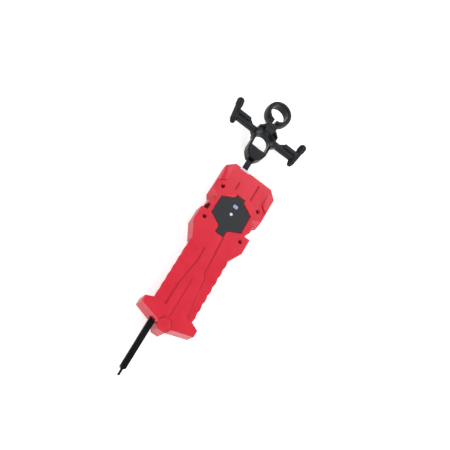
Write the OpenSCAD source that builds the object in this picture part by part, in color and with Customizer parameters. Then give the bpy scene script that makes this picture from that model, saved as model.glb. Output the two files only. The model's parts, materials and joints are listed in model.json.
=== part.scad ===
// Spinning top launcher with a rack rip cord, in millimetres.
// X runs across the casing, Y along it towards the pull ring, and Z up out of the front face.
// The origin is on the spindle axis, in the plane of the collar's rim.

/* [Casing] */
// Thickness from the back face to the front face
body_t = 14.6; // [14.2:0.1:17]
// Wall of the two shells
wall = 2; // [1.6:0.1:2.2]
// Width of the head across its flat sides
head_w = 55.2; // [54:0.1:60]
// From the spindle to the outer end of the head
head_end = 45.8; // [44:0.1:48]
// Corner cut of the head
head_cut = 7.3; // [5:0.1:9]
// From the spindle to the lower end of the head's flat sides
head_side = 4.8; // [4.4:0.1:5.4]
// Inward slant of the head's sides at the back
head_slant = 4.1; // [3.5:0.1:4.5]
// Width of the waist above the notches
waist_w = 47; // [46.4:0.1:48]
// From the spindle to the upper end of the waist
waist_from = 3.6; // [3.2:0.1:4]
// From the spindle to the upper edge of the side notches
notch_from = 4; // [3:0.1:5]
// Opening of the side notches along the casing
notch_h = 6.4; // [5.4:0.1:7]
// Width between the floors of the side notches
notch_w = 41.4; // [41:0.1:43]
// Width of the lugs below the notches
lug_w = 53.6; // [51:0.1:57]
// From the spindle to the lower end of the lugs
lug_end = 25.7; // [24.5:0.1:28]
// From the spindle to the start of the grip
grip_from = 40.5; // [38:0.1:42]
// Width of the grip over its finger waves
grip_w = 40; // [39:0.1:42]
// Number of finger waves on each side
waves = 7; // [5:1:8]
// Depth of the finger waves
wave_d = 0.9; // [0.4:0.1:1.2]
// From the spindle to the start of the guard
guard_from = 105; // [104:0.1:110]
// Width of the guard over its tips
guard_w = 54; // [50:0.1:60]
// Slope of the guard's upper edges along the casing
guard_rise = 3.6; // [2:0.1:5]
// Height of the guard's flat tips
guard_tip = 6.5; // [4:0.1:7]
// Drop of the guard's lower edges from the tips to the middle
guard_drop = 6.2; // [5:0.1:7]
// Depth of the guard behind the back face
guard_deep = 2.4; // [1:0.1:3]
// Edge cut around the faces
edge_cut = 0.8; // [0.4:0.1:1]
// From the spindle to the outer end of the facets at the head's lower corners
facet_from = 12.5; // [11.5:0.1:13.5]
// From the spindle to the inner end of those facets
facet_low = 7.6; // [7:0.1:8.2]
// Width of those facets
facet_w = 7.6; // [7:0.1:7.8]
// Drop of those facets at the head's lower corners
facet_drop = 6.3; // [4:0.1:6.5]
// Drop of the grip's flanks where they meet the guard
flank_drop = 1.5; // [0.6:0.1:1.8]
// Inward slant of the grip's sides at the back
grip_slant = 3.6; // [3:0.1:4]
// Depth of the upper end of that slant below the front face
slant_from = 2; // [1.5:0.1:3]

/* [Front relief] */
// Distance of the raised cheeks' inner edges from the middle
cheek_x = 20.1; // [19.6:0.1:20.6]
// From the spindle to the inner lower corner of the cheeks
cheek_low = 25.6; // [25:0.1:27]
// From the spindle to the outer lower corner of the cheeks
cheek_end = 20.4; // [19:0.1:22]
// Height of the cheeks at their lower end
cheek_h = 1.3; // [0.6:0.1:1.4]
// Half width of the centre panel at the badge
panel_top = 4.7; // [4:0.1:5.2]
// Distance of the panel's right edge from the middle above its step
panel_mid = 7.1; // [6.6:0.1:7.6]
// Distance of the panel's right edge from the middle below its step
panel_knee = 9.6; // [9:0.1:10.2]
// Distance of the panel's right edge from the middle at the guard
panel_low = 14.3; // [13.4:0.1:15]
// Distance of the panel's left edge from the middle at the guard
panel_left = 8.6; // [8:0.1:9.4]
// From the spindle to the start of the centre panel
panel_from = 24.5; // [23.5:0.1:27]
// From the spindle to the step in the panel's right edge
panel_bend = 62; // [60:0.1:64]
// Length of that step along the casing
panel_step = 5; // [4:0.1:6]
// From the spindle to the start of the panel's left edge
left_from = 42; // [40.6:0.1:44]
// From the spindle to the place where the left edge starts to spread
left_bend = 56.5; // [54:0.1:58]
// Length over which the left edge spreads
left_spread = 24.5; // [20:0.1:28]
// From the spindle to the start of the crease along the panel
crease_from = 73; // [70:0.1:80]
// Side of the crease as a share of the grooves
crease_share = 0.6; // [0.5:0.05:0.8]
// Side of the square that cuts the grooves
groove = 1.3; // [0.8:0.1:1.4]
// Distance of the head's two grooves from the middle
groove_x = 8.6; // [7:0.1:10]
// From the spindle to the lower end of the head's grooves
groove_from = 22.8; // [22.4:0.1:25]
// Length of the head's right groove
groove_l = 17.5; // [14:0.1:18]
// Length of the head's left groove
groove_short = 8.4; // [6:0.1:12]

/* [Badge] */
// Corner radius of the six-sided plate
badge_r = 19.3; // [18:0.1:19.4]
// Thickness of the plate
badge_t = 1; // [0.8:0.1:1.2]
// Depth of the plate's face below the front face
badge_deep = 0.8; // [0.4:0.1:1]
// Width of the upper tab
tab_up_w = 9.6; // [8:0.1:11]
// From the spindle to the end of the upper tab
tab_up = 20; // [19:0.1:22]
// Width of the lower tab
tab_low_w = 9; // [8:0.1:10]
// From the spindle to the end of the lower tab
tab_low = 23.5; // [21:0.1:23.5]
// Radius of the round cap let into the plate
cap_r = 1.4; // [1:0.1:1.8]
// Width of the bar let into the plate
bar_w = 4.6; // [3.6:0.1:5.4]
// Length of the bar let into the plate
bar_l = 3.4; // [2.8:0.1:4.4]
// Corner radius of the bar
bar_round = 0.8; // [0.4:0.1:1.2]
// From the spindle to the middle of the bar
bar_y = 8.7; // [7:0.1:11]
// Height of the cap and the bar over the plate
inlay_h = 0.2; // [0.1:0.1:0.4]

/* [Screws] */
// Distance of the head screws from the middle
screw_x = 19.9; // [19.4:0.1:20.4]
// From the spindle to the upper head screws
screw_up = 18.1; // [17.5:0.1:19]
// From the spindle down to the lower head screws
screw_low = 17.4; // [16.5:0.1:18.5]
// Distance of the grip screws from the middle
grip_screw_x = 7; // [6:0.1:8]
// From the spindle down to the upper grip screw
grip_screw_up = 50; // [48:0.1:54]
// From the spindle down to the lower grip screw
grip_screw_low = 98; // [92:0.1:99]
// Radius of the screw heads
screw_head_r = 1.9; // [1.6:0.1:2]
// Height of the screw heads
screw_head_h = 1.6; // [1.4:0.1:2]
// Radius of the screw threads
screw_r = 1.1; // [0.9:0.1:1.2]
// Depth of the head screws' seats below the front face
screw_deep = 3.6; // [3:0.1:4]
// Width of the cross slot in the screw heads
slot_w = 0.5; // [0.3:0.1:0.6]
// Depth of the cross slot
slot_deep = 0.8; // [0.5:0.1:1]
// Wall of the screw posts
post_wall = 1.5; // [1.2:0.1:1.8]

/* [Guard nub] */
// Corner radius of the nub
nub_r = 7.4; // [6.8:0.1:7.6]
// From the start of the guard to the middle of the nub
nub_in = 16.2; // [15.4:0.1:16.6]
// Height of the nub over the faces of the guard
nub_proud = 0.7; // [0.3:0.1:1]
// Width of the nub's tongue
tongue_w = 5; // [4:0.1:6]
// Height of the nub's tongue
tongue_h = 5; // [4:0.1:6]
// Length of the nub's tongue inside the casing
tongue_l = 3; // [2.6:0.1:4]

/* [Collar and rotor] */
// Height of the collar under the back face
collar_h = 5; // [4.8:0.1:6]
// Outer radius of the collar
collar_r = 17.5; // [17.2:0.1:19]
// Wall of the collar
collar_wall = 2.4; // [2:0.1:2.6]
// Free gap around the rotor and over its disc
rotor_gap = 0.6; // [0.4:0.1:0.8]
// Depth of the rotor's face behind the collar's rim
rotor_deep = 0.4; // [0.2:0.1:0.6]
// Outer radius of the prongs
prong_r = 12; // [11:0.1:13]
// Thickness of the prongs
prong_t = 2.8; // [2:0.1:3]
// Length of the prongs under the collar's rim
prong_l = 7.5; // [6:0.1:9]
// Height of the hooks at the prongs' ends
hook_h = 2; // [1.6:0.1:2.6]
// Angle that each prong covers
prong_angle = 38; // [30:1:50]
// Further angle that each hook covers
hook_angle = 20; // [10:1:30]
// Step from the prongs' sides to the hooks' sides
hook_step = 0.3; // [0.2:0.1:0.5]

/* [Spindle] */
// Radius of the spindle shaft
shaft_r = 2; // [1.8:0.1:2.2]
// Outer radius of the rotor's tube in the lower bush
tube_r = 4.5; // [4.2:0.1:4.7]
// Wall of the bushes
bush_wall = 1; // [0.8:0.1:1.2]
// Radial clearance of parts that turn or slide in each other
run_gap = 0.05; // [0.04:0.01:0.08]
// Thickness of the casing around the bushes
boss_wall = 1.5; // [1.2:0.1:1.8]
// Height of the lower bush
low_bush_h = 4.3; // [4:0.1:4.4]
// Thickness of the thrust washer
washer_t = 0.3; // [0.2:0.1:0.4]
// Axial gap of parts that turn against each other
end_gap = 0.1; // [0.05:0.05:0.15]
// Thickness of the clip over the gear
clip_t = 0.4; // [0.3:0.1:0.4]
// Radial width of the clip
clip_w = 1.2; // [0.8:0.1:1.5]
// Depth of the clip's groove in the shaft
clip_deep = 0.3; // [0.2:0.1:0.4]
// Length that the shaft is pressed into the rotor's tube
press_l = 2.2; // [1.8:0.1:2.4]

/* [Plunger] */
// Radius of the plunger's pin
plunger_r = 2.4; // [2.2:0.1:2.5]
// Length of the plunger's pin under the collar's rim
plunger_l = 4.5; // [4:0.1:5]
// Width of the plunger's flange
flange_w = 0.7; // [0.6:0.1:0.8]
// Thickness of the plunger's flange
flange_t = 1; // [0.8:0.1:1.2]
// Thickness of the keeper ring
keeper_t = 1; // [0.8:0.1:1.2]
// Wire of the plunger's spring
wire = 0.5; // [0.4:0.05:0.6]
// Turns of the plunger's spring
turns = 4; // [3:1:4]

/* [Rack and gear] */
// Tooth size: pitch diameter of the gear for each tooth
tooth_module = 1; // [0.98:0.01:1.02]
// Number of gear teeth
gear_teeth = 16; // [16:2:16]
// Reach of the teeth past the pitch line, as a share of the tooth size
tooth_share = 0.8; // [0.7:0.01:0.8]
// Free depth past the tooth tips
tip_gap = 0.4; // [0.3:0.1:0.5]
// Play between the tooth flanks
flank_play = 0.3; // [0.25:0.05:0.35]
// Slope of the tooth flanks
flank_angle = 20; // [18:1:22]
// Width of the rip cord
cord_w = 5.6; // [5.4:0.1:6]
// Thickness of the rip cord
cord_t = 3.6; // [3.4:0.1:3.8]
// Thickness of the web over the teeth
web_t = 1.4; // [1.2:0.1:1.5]
// Free gap around the rip cord
cord_gap = 0.3; // [0.3:0.05:0.4]
// From the spindle down to the end of the rip cord's bar
cord_end = 169.5; // [160:0.5:180]
// Length of the tongue past the bar
tip_l = 6; // [4:0.1:8]
// Width of the tongue
tip_w = 2; // [1.4:0.1:2.6]
// Corner cut at the end of the bar
tip_cut = 1.6; // [1:0.1:1.8]
// Thickness of the gear
gear_t = 2.7; // [2.4:0.1:2.8]
// Teeth of the rack above the spindle
teeth_up = 11; // [9:1:11]
// Teeth of the rack below the spindle
teeth_low = 51; // [46:1:51]

/* [Cord guides] */
// Width of the mouth guide
mouth_w = 10.2; // [9.8:0.1:11]
// Height of the mouth guide over the rip cord's middle
mouth_h = 3.9; // [3.6:0.1:4.2]
// Length of the mouth guide outside the head
mouth_out = 2.4; // [2:0.1:2.8]
// Width of the mouth guide's flange past the guide
mouth_lip = 1.8; // [1:0.1:2.2]
// Thickness of the mouth guide's flange
mouth_lip_t = 1.8; // [1.4:0.1:2.2]
// Depth of the notch over the mouth guide
mouth_notch = 1.8; // [1:0.1:1.9]
// Thickness of the guide ribs beside the rip cord
rib_t = 1.6; // [1.2:0.1:1.7]
// From the spindle down to the start of the inner rib
rib_from = 14; // [12:0.1:18]
// From the spindle down to the middle of the bow spring
bow_y = 70; // [66:0.1:74]
// Length of the bow spring's window in the rib
bow_l = 18; // [15:0.1:20]
// Length of the bow spring's end tabs
bow_tab = 3; // [2.5:0.1:3.5]
// Strip thickness of the bow spring
bow_t = 0.4; // [0.3:0.1:0.5]
// Strip width of the bow spring
bow_w = 3; // [2.4:0.1:3.4]
// Length of the bow spring's flat beside the rip cord
bow_flat = 4; // [3:0.1:6]

/* [Handle] */
// From the spindle to the lower end of the pod
pod_y = 61.8; // [61:0.1:64]
// Half width of the pod's lower end
pod_low = 3.6; // [3.4:0.1:4.4]
// Half width of the pod
pod_w = 9.7; // [9:0.1:10]
// Length of the pod's rounded lower end
pod_taper = 10.4; // [8:0.1:11]
// Length of the pod up to the hub
pod_l = 22.2; // [21:0.1:23]
// Half width of the hub
hub_w = 10.9; // [10.4:0.1:11.6]
// Length of the hub up to its neck
hub_l = 9.5; // [9:0.1:10]
// Half width of the hub's top edge
top_w = 6.2; // [5.6:0.1:7]
// Length of the hub's neck
neck_l = 9; // [8.6:0.1:9.4]
// Thickness of the hub
hub_t = 10; // [9.4:0.1:11]
// Half width of the finger window
window_w = 7.6; // [7:0.1:7.8]
// From the pod's lower end to the window
window_from = 13.1; // [12.6:0.1:13.6]
// Height of the window's straight sides
window_h = 10; // [8:0.1:10.4]
// Depth of the dished rim over the window
dish = 1.8; // [1:0.1:2]
// Depth of the rip cord in the pod
socket_l = 11; // [10.4:0.1:11.2]
// Radius of the handle pins
pin_r = 1.1; // [0.9:0.1:1.2]
// From the pod's lower end to the first pin
pin_from = 4.4; // [4:0.1:4.8]
// Distance between the two pins
pin_step = 4.2; // [3.6:0.1:4.4]
// Cover of the pins under the handle's front face
pin_cover = 1.6; // [1:0.1:2]
// Thickness of the arms
arm_t = 5.6; // [5:0.1:6.4]
// From the pod's lower end to the arms' lower edge
arm_from = 27.5; // [27:0.1:28]
// Width of the arms at the hub
arm_thin = 5.2; // [4.6:0.1:5.6]
// Width of the arms at the cross bars
arm_wide = 9.2; // [8.6:0.1:10]
// Side of the brace in the corner between the pod and the arms
arm_web = 5; // [4:0.1:5.4]
// Distance of the arms' step from the handle's middle
arm_step = 16.4; // [16:0.1:18]
// Length of the arms' step
arm_slope = 4.2; // [3:0.1:5]
// Thickness of the cuffs at the arms' ends
cuff_t = 8.4; // [7.6:0.1:9]
// Width of the cuffs
cuff_w = 4.8; // [4:0.1:5.4]
// Height of the cuffs over the arms' upper edge
cuff_up = 0.5; // [0.3:0.1:0.8]
// Distance of the cross bars' lower end from the handle's middle
bar_low_x = 34; // [33:0.1:35]
// Tilt of the cross bars
bar_angle = 8.5; // [7:0.5:10]
// From the pod's lower end to the lower end of the cross bars
bar_from = 20.7; // [20:0.1:21.4]
// Radius of the cross bars
bar_r = 3.3; // [3:0.1:3.5]
// Length of the cross bars between the nub and the head
bar_mid = 17.9; // [16:0.1:19]
// Radius of the cross bars' upper heads
bulb_r = 3.8; // [3.6:0.1:4.1]
// Length of the cross bars' upper heads
bulb_l = 5; // [4:0.1:6]
// Radius of the cross bars' lower nubs
nib_r = 2.6; // [2.2:0.1:2.9]
// Length of the cross bars' lower nubs
nib_l = 3.4; // [3:0.1:4.4]
// Depth of the pockets in the hub's neck
pocket = 2.2; // [1:0.1:2.4]
// Rim around the pockets in the hub's neck
pocket_rim = 1.4; // [1.2:0.1:1.6]

/* [Pull ring] */
// From the hub's top edge to the middle of the ring
ring_up = 18.9; // [18:0.1:20]
// Radius of the ring's hole
ring_hole = 9; // [8.4:0.1:9.2]
// Radius of the ring's rim
ring_rim = 12.3; // [12:0.1:12.8]
// Radius of the ring's belly
ring_belly = 13.2; // [13:0.1:14]
// Height of the ring
ring_h = 11.2; // [10:0.1:12]
// Width of the ring's stem
stem_w = 11.6; // [10:0.1:12]
// Height of the ring's stem
stem_t = 8.4; // [7:0.1:9]
// Width of the slot in the stem
slit_w = 2.4; // [2:0.1:3]
// Depth of the slot past the ring's hole
slit_l = 4.4; // [3:0.1:5]
// Width of the ring's tenon in the hub
tenon_w = 5; // [4.4:0.1:6]
// Thickness of the ring's tenon
tenon_t = 4.6; // [4:0.1:5]
// Length of the ring's tenon
tenon_l = 5.6; // [5:0.1:6]

/* [Display] */
// Piece to draw

/* [Hidden] */
$fn = 64;
// overrun of every cut past the faces that it opens
over = body_t / 10;
red = [0.85, 0.17, 0.22];
black = [0.12, 0.13, 0.14];
charcoal = [0.2, 0.21, 0.23];
white = [0.93, 0.93, 0.94];
lavender = [0.66, 0.66, 0.84];
steel = [0.7, 0.71, 0.73];
nylon = [0.86, 0.85, 0.8];
brass = [0.75, 0.6, 0.32];

// heights of the back face, the parting plane and the front face
z_back = collar_h;
z_part = collar_h + body_t / 2;
z_front = collar_h + body_t;
z_cord_low = z_part - cord_t / 2;
z_cord_top = z_part + cord_t / 2;
z_web = z_cord_top - web_t;
z_floor = z_back + wall;
z_roof = z_front - wall;

// gear and rack
pitch_r = tooth_module * gear_teeth / 2;
addendum = tooth_module * tooth_share;
tooth_pitch = PI * tooth_module;
gear_root = pitch_r - addendum - tip_gap;
gear_tip = pitch_r + addendum;
base_r = pitch_r * cos(flank_angle);
tooth_half = (tooth_pitch / 2 - flank_play) / 2;
rack_tip = addendum - pitch_r;
rack_root = -pitch_r - addendum - tip_gap;
cord_x = rack_tip - cord_w / 2;
cord_back = cord_x - cord_w / 2;

// heights along the spindle
z_bush_top = z_back + low_bush_h;
z_gear = z_bush_top + end_gap + washer_t;
z_gear_top = z_gear + gear_t;
z_clip_top = z_gear_top + clip_t;
z_pocket = z_front - badge_deep - badge_t;
z_pad = z_pocket - wall;
z_disc_top = z_back - rotor_gap;
disc_r = collar_r - collar_wall - rotor_gap;
chamber_r = plunger_r + flange_w + 2 * run_gap;
z_chamber = z_gear - press_l;
z_keeper = rotor_deep + keeper_t;
z_flange = z_keeper + flange_t + end_gap;
bush_r = tube_r + run_gap + bush_wall;
top_bush_r = shaft_r + run_gap + bush_wall;
z_shaft_top = z_pad - end_gap;

// casing outline, right half from the head's end to the guard's end
guard_top_y = guard_from + guard_rise;
guard_low_y = guard_top_y + guard_tip;
guard_end = guard_low_y + guard_drop;
nub_y = guard_from + nub_in;
wave_l = (guard_from - grip_from) / waves;
wave_steps = 6;
function wave_x(t) = grip_w / 2 - wave_d * (1 - sin(180 * (t - floor(t))));
wave_points = [for (i = [0 : waves * wave_steps])
  [wave_x(i / wave_steps), -grip_from - wave_l * i / wave_steps]];
p_top = [head_w / 2 - head_cut, head_end];
p_corner = [head_w / 2, head_end - head_cut];
p_side = [head_w / 2, head_side];
p_step = [waist_w / 2, waist_from];
p_waist = [waist_w / 2, -notch_from];
p_lug = [lug_w / 2, -notch_from - notch_h];
p_lug_low = [lug_w / 2, -lug_end];
p_grip = wave_points[0];
p_guard = wave_points[len(wave_points) - 1];
p_wing = [guard_w / 2, -guard_top_y];
p_tip = [guard_w / 2, -guard_low_y];
p_low = [nub_r, -guard_end];
notch_in = [notch_w / 2, -notch_from];
notch_low = [notch_w / 2, -notch_from - notch_h];
right_half = concat([p_top, p_corner, p_side, p_step, p_waist, notch_in, notch_low, p_lug, p_lug_low],
  wave_points, [p_wing, p_tip, p_low]);
// edges that are cut: start, end, cut, and whether each end runs on past its corner
cut_edges = [[[-p_top[0], p_top[1]], p_top, edge_cut, true, true],
  [p_top, p_corner, edge_cut, true, true],
  [p_corner, p_side, edge_cut, true, true],
  [p_step, p_waist, edge_cut, true, true],
  [p_lug, p_lug_low, edge_cut, true, true],
  [p_lug_low, p_grip, edge_cut, true, false],
  [p_guard, p_wing, edge_cut, false, true],
  [p_wing, p_tip, edge_cut, true, true],
  [p_tip, p_low, edge_cut, true, true]];

// cavity of the shells, right half
nub_flat = nub_r * cos(30);
cave_end = nub_y - nub_flat - wall;
cave_x = head_w / 2 - head_slant - wall / 2;
cave_half = [[cave_x - head_cut / 2, head_end - wall],
  [cave_x, head_end - wall - head_cut / 2],
  [cave_x, facet_from + wall],
  [notch_w / 2 - wall, facet_low + wall],
  [notch_w / 2 - wall, -lug_end],
  [grip_w / 2 - wave_d - grip_slant, -grip_from],
  [grip_w / 2 - wave_d - grip_slant, -cave_end]];

// edges of the centre panel
right_edge = [[panel_top, -panel_from],
  [panel_mid, -panel_bend],
  [panel_knee, -panel_bend - panel_step],
  [panel_low, -guard_from]];
left_edge = [[-panel_left, -guard_from],
  [-panel_left, -left_bend - left_spread],
  [-panel_top, -left_bend],
  [-panel_top, -left_from]];

function mirrored(p) = concat(p, [for (i = [len(p) - 1 : -1 : 0]) [-p[i][0], p[i][1]]]);
function turned(p, a) = [p[0] * cos(a) - p[1] * sin(a), p[0] * sin(a) + p[1] * cos(a)];

// a block given by its two corners
module block(a, b) {
  translate(a)
    cube(b - a);
}

// a straight prism of a flat outline between two heights
module prism(points, z0, z1) {
  translate([0, 0, z0])
    linear_extrude(z1 - z0)
      polygon(points);
}

// a round post between two heights
module post(x, y, r, z0, z1) {
  translate([x, y, z0])
    cylinder(h = z1 - z0, r = r);
}

module both_sides() {
  children();
  mirror([1, 0, 0])
    children();
}

// wedge that cuts one edge of the front face
module edge_wedge(e) {
  d = e[1] - e[0];
  c = e[2];
  lead = e[3] ? c : 0;
  tail = e[4] ? c : 0;
  translate([e[0][0], e[0][1], z_front])
    rotate([0, 0, atan2(d[1], d[0])])
      translate([-lead, 0, 0])
        rotate([90, 0, 90])
          linear_extrude(norm(d) + lead + tail)
            polygon([[-c - over, over], [over, -c - over], [over, over]]);
}

module edge_wedges() {
  both_sides()
    for (e = cut_edges)
      edge_wedge(e);
}

// groove in the front face from one point to another, a little longer at both ends
module front_groove(a, b, side) {
  d = b - a;
  translate([a[0], a[1], z_front])
    rotate([0, 0, atan2(d[1], d[0])])
      rotate([45, 0, 0])
        translate([-side / 4, -side / 2, -side / 2])
          cube([norm(d) + side / 2, side, side]);
}

// wedge that slants a side inward, from a height down to the back face
module side_slant(x, inset, z, y0, y1) {
  translate([0, y1, 0])
    rotate([90, 0, 0])
      linear_extrude(y1 - y0)
        polygon([[x, z], [x - inset, z_back], [x - inset, z_back - over], [x + over, z_back - over],
          [x + over, z]]);
}

module grip_slants() {
  both_sides()
    side_slant(grip_w / 2, grip_slant, z_front - slant_from, -guard_from, -grip_from);
}

// raised cheek on the right of the head, which grows towards its lower end
module cheek() {
  intersection() {
    prism(mirrored(right_half), z_front - wall / 2, z_front + over);
    prism([[cheek_x, cheek_low], [head_w / 2, cheek_end], [head_w, cheek_end], [head_w, head_end + over],
      [cheek_x, head_end + over]], z_front - wall, z_front + 2 * over);
    rotate([90, 0, 90])
      linear_extrude(head_w)
        polygon([[head_end + over, z_front], [cheek_end - over, z_front + cheek_h],
          [cheek_end - over, z_front - wall], [head_end + over, z_front - wall]]);
  }
}

// room over the facet at the right lower corner of the head
module facet_room() {
  a = [head_w / 2, facet_from];
  b = [head_w / 2 - facet_w, facet_low];
  d = a - b;
  e = p_side - b;
  far = abs(e[0] * d[1] - e[1] * d[0]) / norm(d);
  slant_angle = atan2(facet_drop, far);
  intersection() {
    prism([b, b + d * (facet_w + over) / facet_w, [head_w / 2 + over, waist_from], [b[0], waist_from]],
      z_part, z_front + 2 * over);
    translate([b[0], b[1], z_front])
      rotate([0, 0, atan2(d[1], d[0])])
        rotate([slant_angle, 0, 0])
          translate([-head_w, -head_w, 0])
            cube([2 * head_w, head_w, body_t]);
  }
}

// badge outline, grown by a margin
module badge_shape(grow) {
  rotate([0, 0, 90])
    circle(r = badge_r + grow, $fn = 6);
  translate([-tab_up_w / 2 - grow, 0])
    square([tab_up_w + 2 * grow, tab_up + grow]);
  translate([-tab_low_w / 2 - grow, -tab_low - grow])
    square([tab_low_w + 2 * grow, tab_low + grow]);
}

// six-sided outline of the guard nub
module nub_shape(grow) {
  translate([0, -nub_y])
    circle(r = nub_r + grow, $fn = 6);
}

head_spots = [[screw_x, screw_up], [-screw_x, screw_up], [screw_x, -screw_low], [-screw_x, -screw_low]];
grip_spots = [[grip_screw_x, -grip_screw_up], [grip_screw_x, -grip_screw_low]];
post_r = screw_head_r + cord_gap / 2 + post_wall;
hole_r = screw_head_r + cord_gap / 2;
z_head_seat = z_front - screw_deep - screw_head_h;
z_grip_seat = z_back + screw_head_h + wall / 2;
shank = screw_r + cord_gap / 2;

// room for the rip cord through the end walls
module cord_room(y0, y1) {
  block([cord_back - cord_gap, y0, z_cord_low - cord_gap],
    [cord_back + cord_w + cord_gap, y1, z_cord_top + cord_gap]);
}

// outer form of the mouth guide where it passes the end wall
module mouth_form() {
  block([cord_x - mouth_w / 2, head_end - wall - mouth_lip_t, z_part - mouth_h],
    [cord_x + mouth_w / 2, head_end + mouth_out, z_part + mouth_h]);
}

module mouth_flange() {
  block([cord_x - mouth_w / 2 - mouth_lip, head_end - wall - mouth_lip_t, z_part - mouth_h],
    [cord_x + mouth_w / 2 + mouth_lip, head_end - wall, z_part + mouth_h]);
}

module nub_tongue() {
  block([-tongue_w / 2, -nub_y, z_part - tongue_h / 2],
    [tongue_w / 2, -cave_end + tongue_l, z_part + tongue_h / 2]);
}

// guide ribs beside the rip cord, with a window for the bow spring in the outer one
module guide_ribs(z0, z1) {
  x_out = cord_back - cord_gap;
  x_in = cord_back + cord_w + cord_gap;
  block([x_out - rib_t, -cave_end - over, z0], [x_out, -bow_y - bow_l / 2, z1]);
  block([x_out - rib_t, -bow_y + bow_l / 2, z0], [x_out, head_end - wall - mouth_lip_t, z1]);
  block([x_in, -cave_end - over, z0], [x_in + rib_t, -rib_from, z1]);
}

// room for the bow spring behind the outer rib and in its window
module bow_room() {
  x_out = cord_back - cord_gap - rib_t;
  y_far = bow_l / 2 + bow_tab + cord_gap;
  z_half = bow_w / 2 + cord_gap;
  block([x_out - bow_t - cord_gap, -bow_y - y_far, z_part - z_half], [x_out, -bow_y + y_far, z_part + z_half]);
  block([x_out - over, -bow_y - bow_l / 2, z_part - z_half], [cord_back, -bow_y + bow_l / 2, z_part + z_half]);
}

module upper_casing() {
  color(red)
    difference() {
      union() {
        difference() {
          union() {
            prism(mirrored(right_half), z_part, z_front);
            both_sides()
              cheek();
          }
          edge_wedges();
          both_sides()
            facet_room();
          grip_slants();
          // flanks of the grip slope down to the guard beside the centre panel
          difference() {
            translate([-guard_w / 2, 0, 0])
              rotate([90, 0, 90])
                linear_extrude(guard_w)
                  polygon([[-grip_from, z_front], [-guard_from, z_front - flank_drop],
                    [-guard_from, z_front + over], [-grip_from, z_front + over]]);
            prism(concat(right_edge, left_edge), z_part, z_front + 2 * over);
          }
          // grooves along the centre panel and in the head
          for (i = [0 : len(right_edge) - 2])
            front_groove(right_edge[i], right_edge[i + 1], groove);
          for (i = [0 : len(left_edge) - 2])
            front_groove(left_edge[i], left_edge[i + 1], groove);
          front_groove([groove_x, groove_from], [groove_x, groove_from + groove_l], groove);
          front_groove([-groove_x, groove_from], [-groove_x, groove_from + groove_short], groove);
          front_groove([0, -crease_from], [0, -cave_end], groove * crease_share);
          prism(mirrored(cave_half), z_part - over, z_roof);
        }
        // pad under the badge and boss of the upper bush
        translate([0, 0, z_pad])
          linear_extrude(z_roof + wall / 2 - z_pad)
            badge_shape(wall);
        post(0, 0, top_bush_r + boss_wall, z_clip_top + end_gap, z_roof);
        for (s = concat(head_spots, grip_spots))
          post(s[0], s[1], post_r, z_part, z_roof + wall / 2);
        guide_ribs(z_part, z_roof + wall / 2);
      }
      // badge pocket and upper bush
      translate([0, 0, z_pocket])
        linear_extrude(badge_deep + badge_t + over)
          badge_shape(0);
      post(0, 0, top_bush_r, z_part, z_pad);
      for (s = head_spots) {
        post(s[0], s[1], hole_r, z_head_seat, z_front + over);
        post(s[0], s[1], shank, z_part - over, z_head_seat + over);
      }
      for (s = grip_spots)
        post(s[0], s[1], screw_r, z_part - over, z_roof - wall / 2);
      cord_room(-guard_end - over, head_end + over);
      bow_room();
      mouth_form();
      mouth_flange();
      block([cord_x - mouth_w / 2, head_end - mouth_notch, z_part], [cord_x + mouth_w / 2,
        head_end + over, z_front + over]);
      nub_tongue();
      translate([0, 0, z_part - over])
        linear_extrude(body_t)
          nub_shape(0);
    }
}

// outline below the parting plane, given by its right half, with cut edges at its back
module back_half(half, z) {
  difference() {
    prism(mirrored(half), z, z_part);
    translate([0, 0, z + z_front])
      mirror([0, 0, 1])
        edge_wedges();
  }
}

module lower_casing() {
  color(red)
    difference() {
      union() {
        difference() {
          union() {
            back_half(right_half, z_back);
            back_half([p_guard, p_wing, p_tip, p_low], z_back - guard_deep);
          }
          both_sides()
            side_slant(head_w / 2, head_slant, z_part, waist_from, head_end + over);
          grip_slants();
          prism(mirrored(cave_half), z_floor, z_part + over);
        }
        post(0, 0, collar_r, 0, z_back + wall / 2);
        post(0, 0, bush_r + boss_wall, z_back, z_bush_top);
        for (s = concat(head_spots, grip_spots))
          post(s[0], s[1], post_r, z_floor - wall / 2, z_part);
        guide_ribs(z_floor - wall / 2, z_part);
      }
      // rotor pocket and lower bush
      post(0, 0, collar_r - collar_wall, -over, z_back);
      post(0, 0, bush_r, 0, z_part);
      for (s = head_spots)
        post(s[0], s[1], screw_r, z_floor, z_part + over);
      for (s = grip_spots) {
        post(s[0], s[1], hole_r, z_back - over, z_grip_seat);
        post(s[0], s[1], shank, z_grip_seat - over, z_part + over);
      }
      // room for the gear and its washer
      post(0, 0, gear_tip + cord_gap, z_bush_top, z_part + over);
      cord_room(-guard_end - over, head_end + over);
      bow_room();
      mouth_form();
      mouth_flange();
      nub_tongue();
      translate([0, 0, z_back - guard_deep - over])
        linear_extrude(body_t)
          nub_shape(0);
    }
}

module badge_plate() {
  color(charcoal)
    difference() {
      translate([0, 0, z_pocket])
        linear_extrude(badge_t)
          badge_shape(0);
      post(0, 0, cap_r, z_pocket - over, z_front);
      bar_form(z_pocket - over, z_front);
    }
}

module badge_cap() {
  color(white)
    post(0, 0, cap_r, z_pocket, z_pocket + badge_t + inlay_h);
}

// bar with rounded corners
module bar_form(z0, z1) {
  dx = bar_w / 2 - bar_round;
  dy = bar_l / 2 - bar_round;
  block([-bar_w / 2, bar_y - dy, z0], [bar_w / 2, bar_y + dy, z1]);
  block([-dx, bar_y - bar_l / 2, z0], [dx, bar_y + bar_l / 2, z1]);
  for (x = [-dx, dx])
    for (y = [-dy, dy])
      post(x, bar_y + y, bar_round, z0, z1);
}

module badge_bar() {
  color(lavender)
    bar_form(z_pocket, z_pocket + badge_t + inlay_h);
}

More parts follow.
